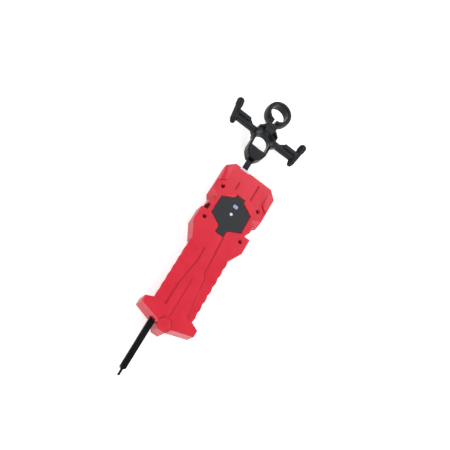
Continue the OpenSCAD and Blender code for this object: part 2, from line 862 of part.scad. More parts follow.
// screw with its head up, its seat at height 0 and its point below
module screw(l) {
  difference() {
    union() {
      cylinder(h = screw_head_h, r = screw_head_r);
      translate([0, 0, -l])
        cylinder(h = l, r = screw_r);
    }
    for (a = [0, 90])
      rotate([0, 0, a])
        translate([-screw_head_r * 2 / 3, -slot_w / 2, screw_head_h - slot_deep])
          cube([screw_head_r * 4 / 3, slot_w, screw_head_h]);
  }
}

module head_screws() {
  color(steel)
    for (s = head_spots)
      translate([s[0], s[1], z_head_seat])
        screw(z_head_seat - z_floor);
}

module grip_screws() {
  color(steel)
    for (s = grip_spots)
      translate([s[0], s[1], z_grip_seat])
        mirror([0, 0, 1])
          screw(z_roof - wall / 2 - z_grip_seat);
}

module guard_nub() {
  color(red)
    difference() {
      union() {
        translate([0, 0, z_back - guard_deep - nub_proud])
          linear_extrude(body_t + guard_deep + 2 * nub_proud)
            nub_shape(0);
        nub_tongue();
      }
      cord_room(-guard_end - nub_r, -cave_end);
    }
}

module mouth_guide() {
  color(white)
    difference() {
      union() {
        mouth_form();
        mouth_flange();
      }
      cord_room(0, head_end + mouth_out + over);
    }
}

// strip that bows through the rib's window against the back of the rip cord
module bow_spring() {
  x_in = cord_back - cord_gap;
  x_out = x_in - rib_t - bow_t;
  y_tab = bow_l / 2;
  path = [[x_out, y_tab + bow_tab], [x_out, y_tab], [x_in - bow_t, bow_flat / 2],
    [x_in - bow_t, -bow_flat / 2], [x_out, -y_tab], [x_out, -y_tab - bow_tab]];
  points = concat(path, [for (i = [len(path) - 1 : -1 : 0]) path[i] + [bow_t, 0]]);
  color(steel)
    translate([0, -bow_y, z_part - bow_w / 2])
      linear_extrude(bow_w)
        polygon(points);
}

module tube(r_in, r_out, z0, z1) {
  difference() {
    post(0, 0, r_out, z0, z1);
    post(0, 0, r_in, z0 - over, z1 + over);
  }
}

module upper_bush() {
  color(brass)
    tube(shaft_r + run_gap, top_bush_r, z_clip_top + end_gap, z_pad);
}

module lower_bush() {
  color(brass)
    tube(tube_r + run_gap, bush_r, z_back, z_bush_top);
}

module spindle_shaft() {
  color(steel)
    difference() {
      post(0, 0, shaft_r, z_chamber, z_shaft_top);
      tube(shaft_r - clip_deep, shaft_r + over, z_gear_top, z_clip_top);
    }
}

// distance of the flank from the tooth's middle, in degrees, at a radius
function roll(r) = let (a = acos(min(1, base_r / r))) (tan(a) * 180 / PI - a);
function flank_at(r) = tooth_half / pitch_r * 180 / PI + roll(pitch_r) - roll(max(r, base_r));
flank_steps = 4;
flank_radii = concat([gear_root], [for (i = [0 : flank_steps])
  base_r + (gear_tip - base_r) * i / flank_steps]);
function gear_point(r, a) = [r * cos(a), r * sin(a)];

module drive_gear() {
  step = 360 / gear_teeth;
  n = len(flank_radii);
  points = [for (t = [0 : gear_teeth - 1], i = [0 : 2 * n - 1])
    let (a = step * (t + 1 / 2), r = flank_radii[i < n ? i : 2 * n - 1 - i])
    gear_point(r, i < n ? a - flank_at(r) : a + flank_at(r))];
  color(nylon)
    difference() {
      prism(points, z_gear, z_gear_top);
      post(0, 0, shaft_r, z_gear - over, z_gear_top + over);
    }
}

module thrust_washer() {
  color(steel)
    tube(tube_r + run_gap, bush_r + boss_wall / 2, z_bush_top + end_gap, z_gear);
}

module shaft_clip() {
  color(steel)
    difference() {
      tube(shaft_r - clip_deep, shaft_r + clip_w, z_gear_top, z_clip_top);
      block([0, -shaft_r / 2, z_gear_top - over], [shaft_r + clip_w + over, shaft_r / 2, z_clip_top + over]);
    }
}

// part of a ring around the spindle, from one angle to another
module ring_part(r0, r1, a0, a1, z0, z1) {
  translate([0, 0, z0])
    rotate([0, 0, a0])
      rotate_extrude(angle = a1 - a0)
        translate([r0, 0])
          square([r1 - r0, z1 - z0]);
}

module prong_rotor() {
  color(black)
    difference() {
      union() {
        post(0, 0, disc_r, rotor_deep, z_disc_top);
        post(0, 0, tube_r, rotor_deep, z_gear);
        for (a = [0, 180]) {
          ring_part(prong_r - prong_t, prong_r, a - prong_angle / 2, a + prong_angle / 2,
            -prong_l, rotor_deep + over / 2);
          ring_part(prong_r - prong_t + hook_step, prong_r - hook_step, a, a + prong_angle / 2 + hook_angle,
            hook_step - prong_l, hook_h - prong_l);
        }
      }
      post(0, 0, chamber_r, rotor_deep - over, z_chamber);
      post(0, 0, shaft_r, rotor_deep, z_gear + over);
    }
}

module keeper_ring() {
  color(steel)
    tube(plunger_r + run_gap, chamber_r, rotor_deep, z_keeper);
}

module plunger() {
  color(white)
    union() {
      post(0, 0, plunger_r, -plunger_l, z_flange);
      post(0, 0, plunger_r + flange_w, z_keeper + end_gap, z_flange);
    }
}

// coil spring as one unbroken tube between the flange and the chamber's end
spring_r = chamber_r - wire / 2 - 2 * run_gap;
spring_low = z_flange + wire / 2;
spring_top = z_chamber - wire / 2;
ring_steps = 8;
tube_sides = 6;
spring_rings = turns * ring_steps;
spring_pitch = (spring_top - spring_low) / turns;
function coil_point(i, j) =
  let (a = 360 * i / ring_steps,
    b = 360 * j / tube_sides,
    z = spring_low + spring_pitch * i / ring_steps,
    r = spring_r + wire / 2 * cos(b))
  [r * cos(a), r * sin(a), z + wire / 2 * sin(b)];
echo(least_gap = spring_pitch * cos(atan2(spring_pitch, 2 * PI * spring_r)) - wire);

module plunger_spring() {
  points = [for (i = [0 : spring_rings], j = [0 : tube_sides - 1]) coil_point(i, j)];
  sides = [for (i = [0 : spring_rings - 1], j = [0 : tube_sides - 1])
    let (k = (j + 1) % tube_sides)
    [i * tube_sides + j, (i + 1) * tube_sides + j, (i + 1) * tube_sides + k, i * tube_sides + k]];
  first = [for (j = [0 : tube_sides - 1]) j];
  last = [for (j = [tube_sides - 1 : -1 : 0]) spring_rings * tube_sides + j];
  color(steel)
    polyhedron(points = points, faces = concat(sides, [first, last]));
}

// toothed edge of the rack, from its lower end to its upper end
function rack_tooth(k) = let (y = k * tooth_pitch, t = tan(flank_angle))
  [[rack_root, y - tooth_half - (addendum + tip_gap) * t], [rack_tip, y - tooth_half + addendum * t],
    [rack_tip, y + tooth_half - addendum * t], [rack_root, y + tooth_half + (addendum + tip_gap) * t]];
teeth_points = [for (k = [-teeth_low : teeth_up]) each rack_tooth(k)];
y_rack = (teeth_up + 1) * tooth_pitch;
y_socket = pod_y + socket_l;

module rip_cord() {
  x0 = cord_back;
  x1 = cord_back + cord_w;
  y_end = -cord_end;
  spine = concat([[x0, y_end + tip_cut]], [[x0 + tip_cut, y_end]], [[rack_root, y_end]], teeth_points,
    [[rack_root, y_rack], [x1, y_rack], [x1, y_socket], [x0, y_socket]]);
  web = [[x0, y_end + tip_cut], [x0 + tip_cut, y_end], [cord_x - tip_w / 2, y_end],
    [cord_x - tip_w / 2, y_end - tip_l], [cord_x + tip_w / 2, y_end - tip_l],
    [cord_x + tip_w / 2, y_end], [x1 - tip_cut, y_end], [x1, y_end + tip_cut],
    [x1, y_socket], [x0, y_socket]];
  color(black)
    difference() {
      union() {
        prism(spine, z_cord_low, z_web);
        prism(web, z_web, z_cord_top);
      }
      for (y = pin_ys)
        post(cord_x, y, pin_r, z_cord_low - over, z_cord_top + over);
    }
}

// handle, about the middle of the rip cord
pin_ys = [pod_y + pin_from, pod_y + pin_from + pin_step];
pin_end = hub_t / 2 - pin_cover;
hub_y = pod_y + pod_l;
neck_y = hub_y + hub_l;
top_y = neck_y + neck_l;
ring_y = top_y + ring_up;
ring_pin_y = top_y - tenon_l / 2;
// rounding of the pod's lower end, as shares of its length and of its widening
nose_shares = [[0, 0], [0.3, 0.45], [0.6, 0.8], [1, 1]];
pod_half = concat([for (s = nose_shares)
    [pod_low + (pod_w - pod_low) * s[1], pod_y + pod_taper * s[0]]],
  [[pod_w, hub_y],
    [hub_w, hub_y + hub_w - pod_w],
    [hub_w, top_y - hub_w + top_w],
    [top_w, top_y]]);
arm_y = pod_y + arm_from;
arm_up = arm_y + arm_wide - cuff_up;
bar_y0 = pod_y + bar_from;
arm_half = [[pod_w - over, arm_y - arm_web],
  [pod_w, arm_y - arm_web],
  [pod_w + arm_web, arm_y],
  [bar_low_x, arm_y],
  [bar_low_x + bar_r / 2, arm_up],
  [arm_step + arm_slope, arm_up],
  [arm_step, arm_y + arm_thin],
  [pod_w - over, arm_y + arm_thin]];
cuff_low = arm_y + arm_wide - cuff_w;
cuff_half = [[arm_step + arm_slope, cuff_low],
  [bar_low_x, cuff_low],
  [bar_low_x + bar_r / 2, cuff_low + cuff_w],
  [arm_step + arm_slope + cuff_up, cuff_low + cuff_w],
  [arm_step + arm_slope, cuff_low + cuff_w - cuff_up]];
pocket_half = [[top_w - pocket_rim, neck_y + pocket_rim],
  [hub_w - pocket_rim, neck_y + pocket_rim],
  [hub_w - pocket_rim, top_y - hub_w + top_w - pocket_rim],
  [top_w - pocket_rim, top_y - 2 * pocket_rim]];

// cross bar with a head and a nub, along +Y
module cross_bar() {
  rotate([-90, 0, 0]) {
    translate([0, 0, nib_r])
      sphere(r = nib_r);
    translate([0, 0, nib_r])
      cylinder(h = nib_l, r = nib_r);
    translate([0, 0, nib_l])
      cylinder(h = bar_r - nib_r, r1 = nib_r, r2 = bar_r);
    translate([0, 0, nib_l + bar_r - nib_r])
      cylinder(h = bar_mid + nib_r - bar_r, r = bar_r);
    translate([0, 0, nib_l + bar_mid])
      cylinder(h = bulb_l, r = bulb_r);
    translate([0, 0, nib_l + bar_mid + bulb_l])
      sphere(r = bulb_r);
  }
}

module handle_frame() {
  color(black)
    translate([cord_x, 0, z_part])
      difference() {
        union() {
          prism(mirrored(pod_half), -hub_t / 2, hub_t / 2);
          both_sides() {
            prism(arm_half, -arm_t / 2, arm_t / 2);
            prism(cuff_half, -cuff_t / 2, cuff_t / 2);
            translate([bar_low_x, bar_y0, 0])
              rotate([0, 0, -bar_angle])
                cross_bar();
          }
        }
        // finger window with an arched top
        block([-window_w, pod_y + window_from, -hub_t], [window_w, pod_y + window_from + window_h, hub_t]);
        post(0, pod_y + window_from + window_h, window_w, -hub_t, hub_t);
        translate([0, pod_y + window_from + window_h, hub_t / 2 - dish])
          cylinder(h = dish + over, r1 = window_w, r2 = window_w + dish + over);
        both_sides()
          for (z = [-hub_t / 2 - over, hub_t / 2 - pocket])
            prism(pocket_half, z, z + pocket + over);
        // sockets of the rip cord and of the ring's tenon
        block([-cord_w / 2, pod_y - over, -cord_t / 2], [cord_w / 2, y_socket, cord_t / 2]);
        block([-tenon_w / 2, top_y - tenon_l, -tenon_t / 2], [tenon_w / 2, top_y + over, tenon_t / 2]);
        for (y = pin_ys)
          post(0, y, pin_r, -hub_t, pin_end);
        post(0, ring_pin_y, pin_r, -hub_t, pin_end);
      }
}

module handle_pins() {
  color(steel)
    for (y = pin_ys)
      post(cord_x, y, pin_r, z_part - hub_t / 2, z_part + pin_end);
}

module pull_ring() {
  bow_steps = 6;
  belly = [for (i = [0 : bow_steps])
    let (t = 2 * i / bow_steps - 1)
    [ring_rim + (ring_belly - ring_rim) * (1 - t * t), ring_h / 2 * t]];
  color(black)
    translate([cord_x, ring_y, z_part])
      difference() {
        union() {
          rotate_extrude()
            polygon(concat([[ring_hole - over, -ring_h / 2]], belly, [[ring_hole - over, ring_h / 2]]));
          block([-stem_w / 2, -ring_up, -stem_t / 2], [stem_w / 2, -ring_hole, stem_t / 2]);
          block([-tenon_w / 2, -ring_up - tenon_l, -tenon_t / 2], [tenon_w / 2, -ring_hole, tenon_t / 2]);
        }
        post(0, 0, ring_hole, -ring_h, ring_h);
        block([-slit_w / 2, -ring_hole - slit_l, -ring_h], [slit_w / 2, 0, ring_h]);
        post(0, ring_pin_y - ring_y, pin_r, -ring_h, ring_h);
      }
}

module ring_pin() {
  color(steel)
    post(cord_x, ring_pin_y, pin_r, z_part - hub_t / 2, z_part + pin_end);
}

upper_casing();
lower_casing();
badge_plate();
badge_cap();
badge_bar();
head_screws();
grip_screws();
guard_nub();
mouth_guide();
bow_spring();
upper_bush();
lower_bush();
spindle_shaft();
drive_gear();
thrust_washer();
shaft_clip();
prong_rotor();
keeper_ring();
plunger();
plunger_spring();
rip_cord();
handle_frame();
handle_pins();
pull_ring();
ring_pin();
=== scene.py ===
"""Spinning top launcher: finished pieces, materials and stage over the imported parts."""

import json
import math
from collections import namedtuple

import bpy
from bpy.props import FloatProperty, FloatVectorProperty, IntProperty, PointerProperty
from mathutils import Matrix, Vector


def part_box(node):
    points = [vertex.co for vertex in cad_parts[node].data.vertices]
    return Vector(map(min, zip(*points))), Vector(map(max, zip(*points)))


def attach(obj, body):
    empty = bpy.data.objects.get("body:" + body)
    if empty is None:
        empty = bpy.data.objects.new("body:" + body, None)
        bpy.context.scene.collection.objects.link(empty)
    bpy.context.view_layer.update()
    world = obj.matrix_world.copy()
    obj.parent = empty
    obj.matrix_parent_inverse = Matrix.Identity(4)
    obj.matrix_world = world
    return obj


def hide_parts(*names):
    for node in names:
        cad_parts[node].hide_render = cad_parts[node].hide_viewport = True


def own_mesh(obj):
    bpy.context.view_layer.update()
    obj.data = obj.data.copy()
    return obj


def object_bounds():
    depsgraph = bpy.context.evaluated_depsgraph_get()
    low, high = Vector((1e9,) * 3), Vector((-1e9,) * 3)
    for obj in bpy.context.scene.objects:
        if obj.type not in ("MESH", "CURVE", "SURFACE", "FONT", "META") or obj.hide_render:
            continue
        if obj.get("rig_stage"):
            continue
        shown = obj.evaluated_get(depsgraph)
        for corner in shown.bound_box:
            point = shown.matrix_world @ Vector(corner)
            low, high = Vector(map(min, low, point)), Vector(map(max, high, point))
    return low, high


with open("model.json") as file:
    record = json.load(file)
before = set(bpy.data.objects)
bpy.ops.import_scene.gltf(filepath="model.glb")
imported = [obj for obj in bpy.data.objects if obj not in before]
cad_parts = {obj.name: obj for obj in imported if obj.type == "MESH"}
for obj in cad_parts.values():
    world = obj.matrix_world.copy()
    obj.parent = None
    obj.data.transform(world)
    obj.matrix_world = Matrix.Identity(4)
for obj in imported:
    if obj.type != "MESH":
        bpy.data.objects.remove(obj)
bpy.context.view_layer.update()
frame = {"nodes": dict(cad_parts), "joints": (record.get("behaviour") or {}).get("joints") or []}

bl_info = {
    "name": "Spinning Top Launcher",
    "version": (1, 0, 0),
    "blender": (4, 5, 0),
    "location": "3D View > Sidebar > Launcher",
    "description": "Builds the finished pieces of a spinning top launcher over its parts",
    "category": "Object",
}

MM = 0.001


class LauncherSizes(bpy.types.PropertyGroup):
    """Sizes of the rounded edges, the open joints and the softened handle."""

    shell_edge: FloatProperty(
        name="Casing edge",
        description="Width of the rounded edges on the casing shells",
        default=0.35 * MM, min=0.05 * MM, max=0.6 * MM, unit="LENGTH", precision=5)
    rim_edge: FloatProperty(
        name="Badge rim",
        description="Width of the rounded rim around the badge",
        default=0.6 * MM, min=0.1 * MM, max=0.7 * MM, unit="LENGTH", precision=5)
    trim_edge: FloatProperty(
        name="Trim edge",
        description="Width of the rounded edges on the badge, the plunger and the mouth guide",
        default=0.25 * MM, min=0.05 * MM, max=0.4 * MM, unit="LENGTH", precision=5)
    metal_edge: FloatProperty(
        name="Metal edge",
        description="Width of the broken edges on screws, pins, bushes and other small parts",
        default=0.12 * MM, min=0.02 * MM, max=0.2 * MM, unit="LENGTH", precision=5)
    cord_edge: FloatProperty(
        name="Rip cord edge",
        description="Width of the rounded long edges on the rip cord",
        default=0.25 * MM, min=0.05 * MM, max=0.4 * MM, unit="LENGTH", precision=5)
    nub_gap: FloatProperty(
        name="Nub gap",
        description="Open joint around the guard's nub",
        default=0.45 * MM, min=0.1 * MM, max=0.6 * MM, unit="LENGTH", precision=5)
    badge_gap: FloatProperty(
        name="Badge gap",
        description="Open joint around the badge plate",
        default=0.6 * MM, min=0.1 * MM, max=0.8 * MM, unit="LENGTH", precision=5)
    slot_bump: FloatProperty(
        name="Slot bumps",
        description="Radius of the two bumps beside the slot in the pull ring",
        default=1.3 * MM, min=0.6 * MM, max=1.6 * MM, unit="LENGTH", precision=5)
    dish_width: FloatProperty(
        name="Dish width",
        description="Width of the dished rim over the finger window",
        default=3.4 * MM, min=2 * MM, max=4 * MM, unit="LENGTH", precision=5)
    dish_depth: FloatProperty(
        name="Dish depth",
        description="Depth of the dished rim at the finger window's edge",
        default=1.7 * MM, min=1 * MM, max=2 * MM, unit="LENGTH", precision=5)
    grain: FloatProperty(
        name="Handle grain",
        description="Cell size of the mesh that softens the handle",
        default=0.34 * MM, min=0.25 * MM, max=0.8 * MM, unit="LENGTH", precision=5)
    soften: IntProperty(
        name="Handle softening",
        description="Number of smoothing passes over the handle",
        default=7, min=0, max=30)


class LauncherColors(bpy.types.PropertyGroup):
    """Colours of the finishes, as written in linear light."""

    red: FloatVectorProperty(
        name="Red", description="Colour of the casing's plastic",
        default=(0.72, 0.012, 0.036), min=0, max=1, subtype="COLOR")
    black: FloatVectorProperty(
        name="Black", description="Colour of the handle's and the rip cord's plastic",
        default=(0.0040, 0.0044, 0.0054), min=0, max=1, subtype="COLOR")
    charcoal: FloatVectorProperty(
        name="Charcoal", description="Colour of the badge plate",
        default=(0.0145, 0.0180, 0.0215), min=0, max=1, subtype="COLOR")
    white: FloatVectorProperty(
        name="White", description="Colour of the cap, the plunger and the mouth guide",
        default=(0.74, 0.79, 0.90), min=0, max=1, subtype="COLOR")
    lavender: FloatVectorProperty(
        name="Lavender", description="Colour of the bar in the badge",
        default=(0.34, 0.36, 0.60), min=0, max=1, subtype="COLOR")
    nylon: FloatVectorProperty(
        name="Nylon", description="Colour of the drive gear",
        default=(0.72, 0.70, 0.62), min=0, max=1, subtype="COLOR")
    steel: FloatVectorProperty(
        name="Steel", description="Colour of the shaft, pins and springs",
        default=(0.56, 0.57, 0.58), min=0, max=1, subtype="COLOR")
    # The red in the blackened screws' colour is painted red light, bounced into their holes from the casing
    dark_steel: FloatVectorProperty(
        name="Dark steel", description="Colour of the blackened screws",
        default=(0.16, 0.085, 0.085), min=0, max=1, subtype="COLOR")
    brass: FloatVectorProperty(
        name="Brass", description="Colour of the bushes",
        default=(0.70, 0.52, 0.22), min=0, max=1, subtype="COLOR")


class LauncherStage(bpy.types.PropertyGroup):
    """Camera and light."""

    lens: FloatProperty(
        name="Lens", description="Focal length of the camera on a 36 mm sensor",
        default=64.0, min=20, max=200)
    camera_turn: FloatProperty(
        name="Camera turn", description="How far the camera stands to the left of the grip's end",
        default=math.radians(20.774), min=-math.pi, max=math.pi, subtype="ANGLE")
    camera_height: FloatProperty(
        name="Camera height", description="Angle at which the camera looks down",
        default=math.radians(60.926), min=0, max=math.pi / 2, subtype="ANGLE")
    camera_roll: FloatProperty(
        name="Camera roll", description="Turn of the picture about the camera's own axis",
        default=math.radians(54.648), min=-math.pi, max=math.pi, subtype="ANGLE")
    key_power: FloatProperty(
        name="Key light", description="Power of the large lamp on the right",
        default=6.7, min=0, max=100, subtype="POWER")
    fill_power: FloatProperty(
        name="Fill light", description="Power of the large lamp in front of the grip's end",
        default=6.8, min=0, max=100, subtype="POWER")
    back_power: FloatProperty(
        name="Back light", description="Power of the lamp behind the pull ring",
        default=2.4, min=0, max=100, subtype="POWER")
    side_power: FloatProperty(
        name="Side light", description="Power of the lamp on the left of the handle",
        default=3.0, min=0, max=100, subtype="POWER")
    right_power: FloatProperty(
        name="Right light", description="Power of the lamp on the right of the grip",
        default=1.0, min=0, max=100, subtype="POWER")
    top_power: FloatProperty(
        name="Top light", description="Power of the lamp above the grip",
        default=1.8, min=0, max=100, subtype="POWER")
    sky: FloatProperty(
        name="Sky", description="Strength of the even light from all around",
        default=0.24, min=0, max=2)


class Wire:
    """A value inside a finish, with which sums and products can be written."""

    def __init__(self, finish, socket):
        self.finish = finish
        self.socket = socket

    def _math(self, operation, *terms):
        """A new value from an operation on the terms."""
        return self.finish.add("ShaderNodeMath", {"operation": operation}, dict(enumerate(terms)))

    def __add__(self, other):
        return self._math("ADD", self, other)

    __radd__ = __add__

    def __sub__(self, other):
        return self._math("SUBTRACT", self, other)

    def __rsub__(self, other):
        return self._math("SUBTRACT", other, self)

    def __mul__(self, other):
        return self._math("MULTIPLY", self, other)

    __rmul__ = __mul__


class Finish:
    """One material: a Principled shader and the nodes that vary it over the surface."""

    def __init__(self, name, **constants):
        self.material = bpy.data.materials.new(name)
        self.material.use_nodes = True
        self.tree = self.material.node_tree
        self.shader = self.tree.nodes["Principled BSDF"]
        for socket, value in constants.items():
            self.shader.inputs[socket.replace("_", " ")].default_value = value
        self.place = self.add("ShaderNodeTexCoord", {}, {}, "Object")

    def feed(self, socket, value):
        """Links a wire to a socket, or sets the socket to a value."""
        if isinstance(value, Wire):
            self.tree.links.new(value.socket, socket)
        else:
            socket.default_value = value

    def add(self, kind, settings, sockets, output=0):
        """Any node: its settings first, then the values or links of its sockets."""
        node = self.tree.nodes.new(kind)
        for key, value in settings.items():
            setattr(node, key, value)
        for key, value in sockets.items():
            self.feed(node.inputs[key], value)
        return Wire(self, node.outputs[output])

    def noise(self, size, detail, stretch=None):
        """Soft grain whose cells are about the given size in metres."""
        place = self.place
        if stretch:
            place = self.add("ShaderNodeMapping", {}, {"Vector": self.place, "Scale": stretch})
        return self.add("ShaderNodeTexNoise", {}, {"Vector": place, "Scale": 1 / size, "Detail": detail})

    def patches(self, size, detail, low, high, stretch=None):
        """Soft grain spread from 0 where it is low to 1 where it is high."""
        grain = self.noise(size, detail, stretch)
        return self.add("ShaderNodeMapRange", {"clamp": True}, {0: grain, 1: low, 2: high, 3: 0.0, 4: 1.0})

    def mix(self, factor, a, b):
        """A colour between two colours."""
        return self.add("ShaderNodeMix", {"data_type": "RGBA"}, {0: factor, 6: a, 7: b}, 2)

    def edges(self):
        """1 on the rounded edges of a piece and 0 elsewhere."""
        return self.add("ShaderNodeAttribute", {"attribute_name": "edge"}, {}, "Fac")

    def lines(self):
        """How much shade is painted on the walls of lines and recesses: 1 or more there and 0 elsewhere."""
        return self.add("ShaderNodeAttribute", {"attribute_name": "line"}, {}, "Fac")

    def bump(self, height, depth):
        """Relief of the given depth in metres."""
        sockets = {"Strength": 1.0, "Distance": depth, "Height": height}
        return self.add("ShaderNodeBump", {}, sockets, "Normal")

    def dress(self, color, roughness, normal):
        """Feeds the shader and gives the finished material."""
        self.feed(self.shader.inputs["Base Color"], color)
        self.feed(self.shader.inputs["Roughness"], roughness)
        self.feed(self.shader.inputs["Normal"], normal)
        return self.material


def shade(color, by):
    """A colour made lighter or darker, with its opacity."""
    return (*[min(1.0, c * by) for c in color], 1.0)


def toward(color, other, share):
    """A colour moved by a share towards another, with its opacity."""
    return (*[c + (o - c) * share for c, o in zip(color, other)], 1.0)


PLAIN = (1.0, 1.0, 1.0, 1.0)
COOL = (0.86, 0.92, 1.0, 1.0)
WORN = (1.0, 0.9, 0.9)
MILKY = (1.0, 1.0, 1.0)
# Stretch of the tool lines along a turned part, and around one
ALONG = (1.0, 1.0, 0.2)
AROUND = (0.2, 0.2, 1.0)
# Stretch of the hairline scuffs, which run with the length of the launcher
SCUFFS = (1.0, 0.06, 1.0)


def moulded_plastic(name, color, gloss, grain, worn, scuff, coat=0.0, shine=0.5, gleam=PLAIN):
    """Injection-moulded plastic: faint flow clouds, fine tool grain, polished edges, hairline scuffs and
    painted shade on the walls of lines and recesses.
    """
    f = Finish(name, IOR=1.5, Specular_IOR_Level=shine, Specular_Tint=gleam,
               Coat_Weight=coat, Coat_Roughness=0.14)
    clouds = f.patches(size=14 * MM, detail=3.0, low=0.32, high=0.68)
    specks = f.patches(size=0.7 * MM, detail=2.0, low=0.35, high=0.65)
    hairs = f.patches(size=1.1 * MM, detail=4.0, low=0.60, high=0.72, stretch=SCUFFS)
    edge = f.edges() * f.patches(size=3 * MM, detail=2.0, low=0.35, high=0.6)
    line = f.lines()
    body = f.mix(clouds, shade(color, by=0.95), shade(color, by=1.03))
    body = f.mix(specks * 0.3, body, shade(color, by=1.08))
    body = f.mix(edge * worn, body, toward(color, WORN, share=0.16))
    # Painted shade: the walls of lines and recesses are darkened towards a deep red
    body = f.mix(line * 0.5, body, shade(color, by=0.4))
    if coat:
        f.feed(f.shader.inputs["Coat Weight"], coat - coat * line)
    rough = gloss + 0.07 * clouds + scuff * hairs + 0.05 * specks - 0.04 * edge + 0.5 * line
    relief = f.noise(size=0.35 * MM, detail=2.0) + 0.5 * f.noise(size=0.12 * MM, detail=1.0)
    return f.dress(body, rough, f.bump(relief, grain))


def turned_metal(name, color, gloss, stretch):
    """Plated or turned metal: fine tool lines, cloudy plating and brighter edges."""
    f = Finish(name, Metallic=1.0)
    lines = f.noise(size=0.25 * MM, detail=3.0, stretch=stretch)
    clouds = f.patches(size=2.5 * MM, detail=3.0, low=0.3, high=0.7)
    edge = f.edges()
    body = f.mix(clouds, shade(color, by=0.82), shade(color, by=1.05))
    body = f.mix(edge * 0.5, body, shade(color, by=1.25))
    rough = gloss + 0.12 * lines + 0.08 * clouds - 0.05 * edge
    return f.dress(body, rough, f.bump(lines, depth=0.01 * MM))


def clear_inlay(name, color, gloss):
    """Pale see-through plastic over a light core, a little cloudy inside."""
    f = Finish(name, IOR=1.5, Coat_Weight=0.4, Coat_Roughness=0.08)
    clouds = f.patches(size=1.6 * MM, detail=3.0, low=0.3, high=0.7)
    specks = f.patches(size=0.3 * MM, detail=1.0, low=0.4, high=0.62)
    body = f.mix(clouds, shade(color, by=0.9), shade(color, by=1.06))
    body = f.mix(specks * 0.25, body, toward(color, MILKY, share=0.4))
    return f.dress(body, gloss + 0.06 * clouds, f.bump(clouds, depth=0.02 * MM))


RECIPES = {
    "red_plastic": lambda tint: moulded_plastic(
        "red_moulding", tint.red, gloss=0.26, grain=0.010 * MM, worn=0.15, scuff=0.08, coat=0.3),
    "black_plastic": lambda tint: moulded_plastic(
        "black_moulding", tint.black, gloss=0.20, grain=0.020 * MM, worn=0.35, scuff=0.10,
        shine=0.32, gleam=COOL),
    "charcoal_plastic": lambda tint: moulded_plastic(
        "charcoal_moulding", tint.charcoal, gloss=0.48, grain=0.030 * MM, worn=0.3, scuff=0.06),
    "white_plastic": lambda tint: moulded_plastic(
        "white_moulding", tint.white, gloss=0.30, grain=0.010 * MM, worn=0.1, scuff=0.05),
    "nylon": lambda tint: moulded_plastic(
        "nylon_moulding", tint.nylon, gloss=0.42, grain=0.015 * MM, worn=0.2, scuff=0.05),
    "lavender_plastic": lambda tint: clear_inlay("lavender_inlay", tint.lavender, gloss=0.18),
    "steel": lambda tint: turned_metal("plated_steel", tint.steel, gloss=0.26, stretch=ALONG),
    # The blackened steel's red tint is painted bounced light from the red casing
    "dark_steel": lambda tint: turned_metal("blackened_steel", tint.dark_steel, gloss=0.24, stretch=ALONG),
    "brass": lambda tint: turned_metal("turned_brass", tint.brass, gloss=0.24, stretch=AROUND),
}
FINISHES = {}


def finish(slot):
    """The material of a slot, made once."""
    if slot not in FINISHES:
        FINISHES[slot] = RECIPES[slot](bpy.context.scene.launcher_colors)
    return FINISHES[slot]


# Points closer than this are one point
MERGE = 0.002 * MM
# Faces that meet at less than this angle are one face, and at more than the next a sharp edge
FLAT_ANGLE = math.radians(0.4)
SHARP_ANGLE = math.radians(28.0)
# Faces that meet at less than this angle are shaded as one, and on the coil at less than the next
SMOOTH_ANGLE = math.radians(40.0)
COIL_ANGLE = math.radians(60.0)
# Level faces whose slopes differ by more than this are shaded apart
SLOPE_STEP = math.radians(1.0)
# An edge shorter than this many widths has no room to be rounded
ROOM = 2.4
# A face is nearly level if its normal rises more than the first share, and a wall if less than the second
LEVEL = 0.9
UPRIGHT = 0.1


def only(piece):
    """Selects one object alone and makes it active."""
    bpy.ops.object.select_all(action="DESELECT")
    piece.select_set(True)
    bpy.context.view_layer.objects.active = piece


def open_picked(piece, mode):
    """Opens a piece in edit mode with what is already picked."""
    only(piece)
    bpy.ops.object.mode_set(mode="EDIT")
    bpy.ops.mesh.select_mode(type=mode)


def leave():
    """Goes back to object mode."""
    bpy.ops.object.mode_set(mode="OBJECT")


def merge_points():
    """In edit mode, selects everything and merges the points that meet."""
    bpy.ops.mesh.select_all(action="SELECT")
    bpy.ops.mesh.remove_doubles(threshold=MERGE)


def cast_of(node, name):
    """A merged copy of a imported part, as a piece of its own with clean faces."""
    source = frame["nodes"][node]
    piece = source.copy()
    piece.data = source.data.copy()
    piece.name = piece.data.name = name
    for key in [k for k in piece.keys() if k.startswith("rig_")]:
        del piece[key]
    piece.parent = None
    piece.matrix_world = Matrix.Identity(4)
    bpy.context.scene.collection.objects.link(piece)
    open_picked(piece, "VERT")
    merge_points()
    bpy.ops.mesh.dissolve_limited(angle_limit=FLAT_ANGLE)
    leave()
    return piece


def unpick(mesh):
    """Deselects every point, edge and face."""
    for part in (mesh.vertices, mesh.edges, mesh.polygons):
        for item in part:
            item.select = False


def pick_points(piece, test):
    """Selects the points whose place passes a test, and counts them."""
    unpick(piece.data)
    picked = [v for v in piece.data.vertices if test(v.co)]
    for v in picked:
        v.select = True
    return len(picked)


def pick_edges(piece, test):
    """Selects the edges that pass a test on their two points and two face normals, and counts them."""
    mesh = piece.data
    sides = {}
    for face in mesh.polygons:
        for key in face.edge_keys:
            sides.setdefault(key, []).append(face)
    unpick(mesh)
    count = 0
    for edge in mesh.edges:
        faces = sides.get(tuple(sorted(edge.vertices)), [])
        if len(faces) != 2:
            continue
        a, b = (mesh.vertices[v].co for v in edge.vertices)
        if test(a, b, faces[0].normal, faces[1].normal):
            edge.select = True
            count += 1
    return count


def spot(p):
    """A point's place as whole numbers, the same for points that would merge."""
    return tuple(round(c / MERGE) for c in p)


